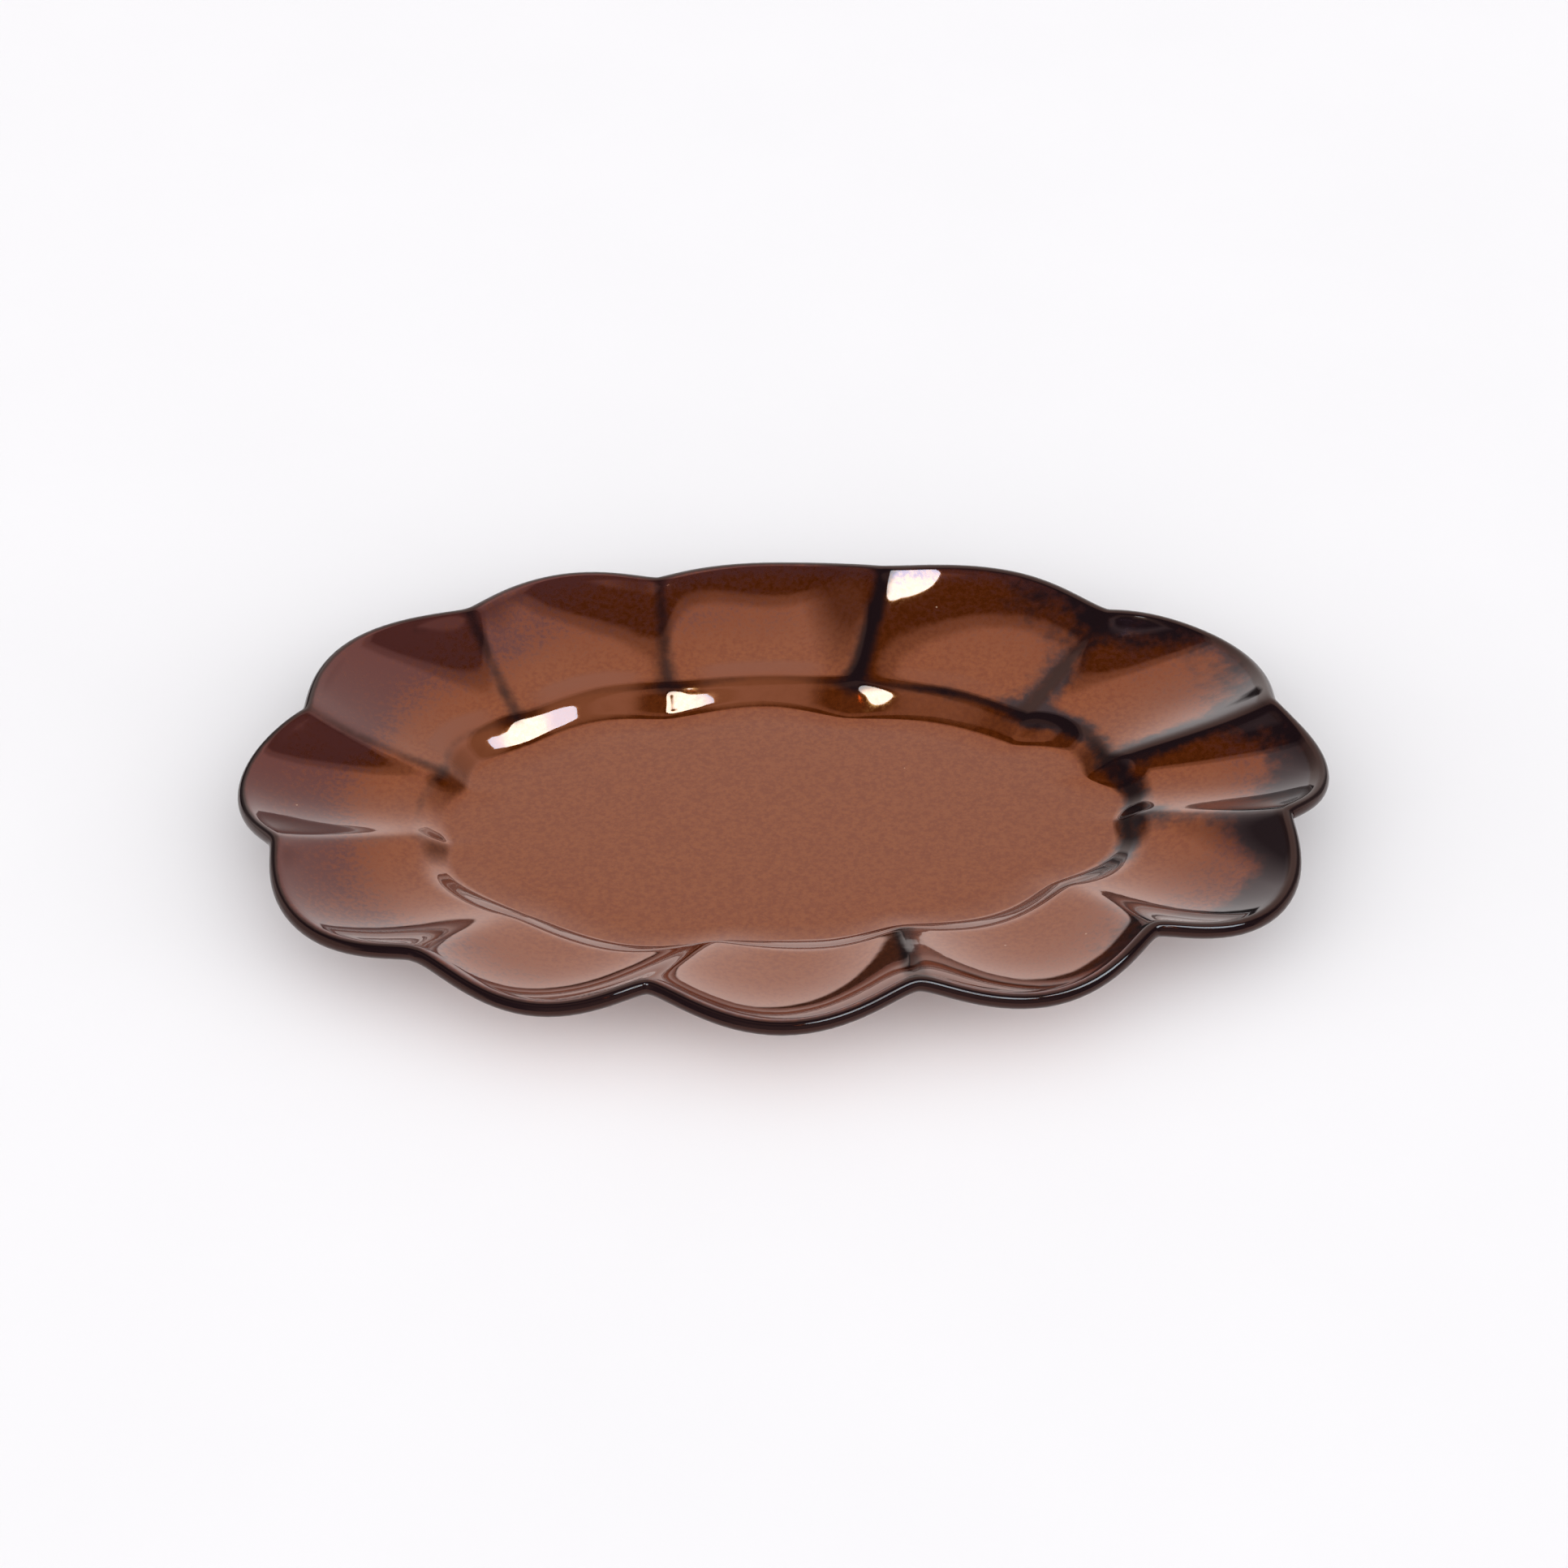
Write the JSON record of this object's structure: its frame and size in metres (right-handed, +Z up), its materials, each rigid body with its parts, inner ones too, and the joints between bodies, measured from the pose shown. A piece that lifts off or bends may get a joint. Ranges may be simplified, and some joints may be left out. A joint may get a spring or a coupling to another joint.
{
  "type": "soy sauce dish",
  "caption": "Low oval soy sauce dish in amber-brown glazed stoneware, with a flat well, a border of fluted petals with a scalloped rim, and a low oval foot.",
  "frame": {"origin": "on the table, under the middle of the dish's outline", "axes": "+X along the dish's length, +Y across it, +Z up"},
  "size_m": [0.1295, 0.0864, 0.0143],
  "materials": {
    "bare_clay": "unglazed fine stoneware, matt",
    "amber_glaze": "glossy amber-brown glaze, near black where it thins at the ridges and rim"
  },
  "bodies": {
    "root": {"clay_body": "bare_clay", "foot_ring": "bare_clay", "glaze_coat": "amber_glaze", "base_glaze": "amber_glaze"}
  },
  "joints": []
}
